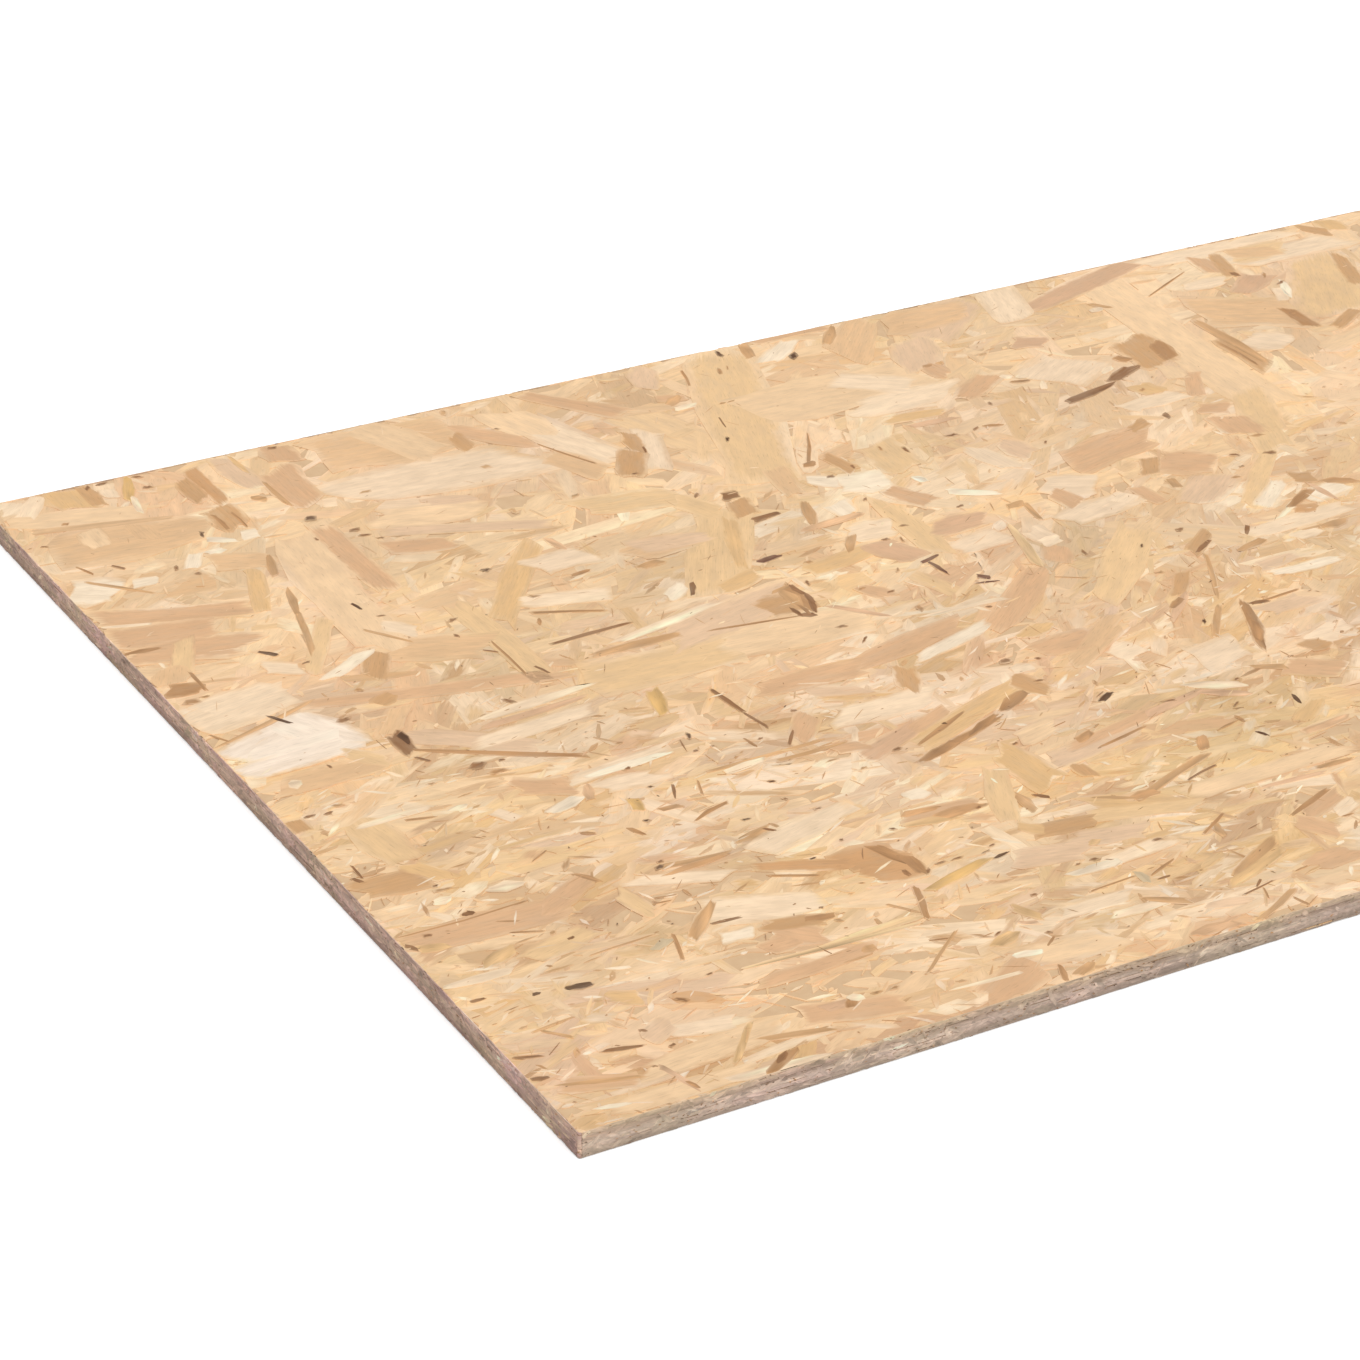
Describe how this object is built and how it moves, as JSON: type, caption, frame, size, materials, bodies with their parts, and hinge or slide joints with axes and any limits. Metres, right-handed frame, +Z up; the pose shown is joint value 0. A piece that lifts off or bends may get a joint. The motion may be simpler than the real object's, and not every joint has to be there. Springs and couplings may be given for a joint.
{
  "type": "oriented strand board panel",
  "caption": "Flat rectangular sheet of pressed and glued wood strands with square sawn edges, used as sheathing, decking, flooring and boxing.",
  "frame": {"origin": "centre of the underside, at the level of the floor the board lies on", "axes": "+X along the board's length, the way most face strands run; +Y across its width; +Z up through its thickness"},
  "size_m": [1.22, 0.61, 0.011],
  "materials": {
    "pressed_strands": "unsanded pressed strands, matt, with sawn edges"
  },
  "bodies": {
    "root": {"osb_board": "pressed_strands"}
  },
  "joints": []
}
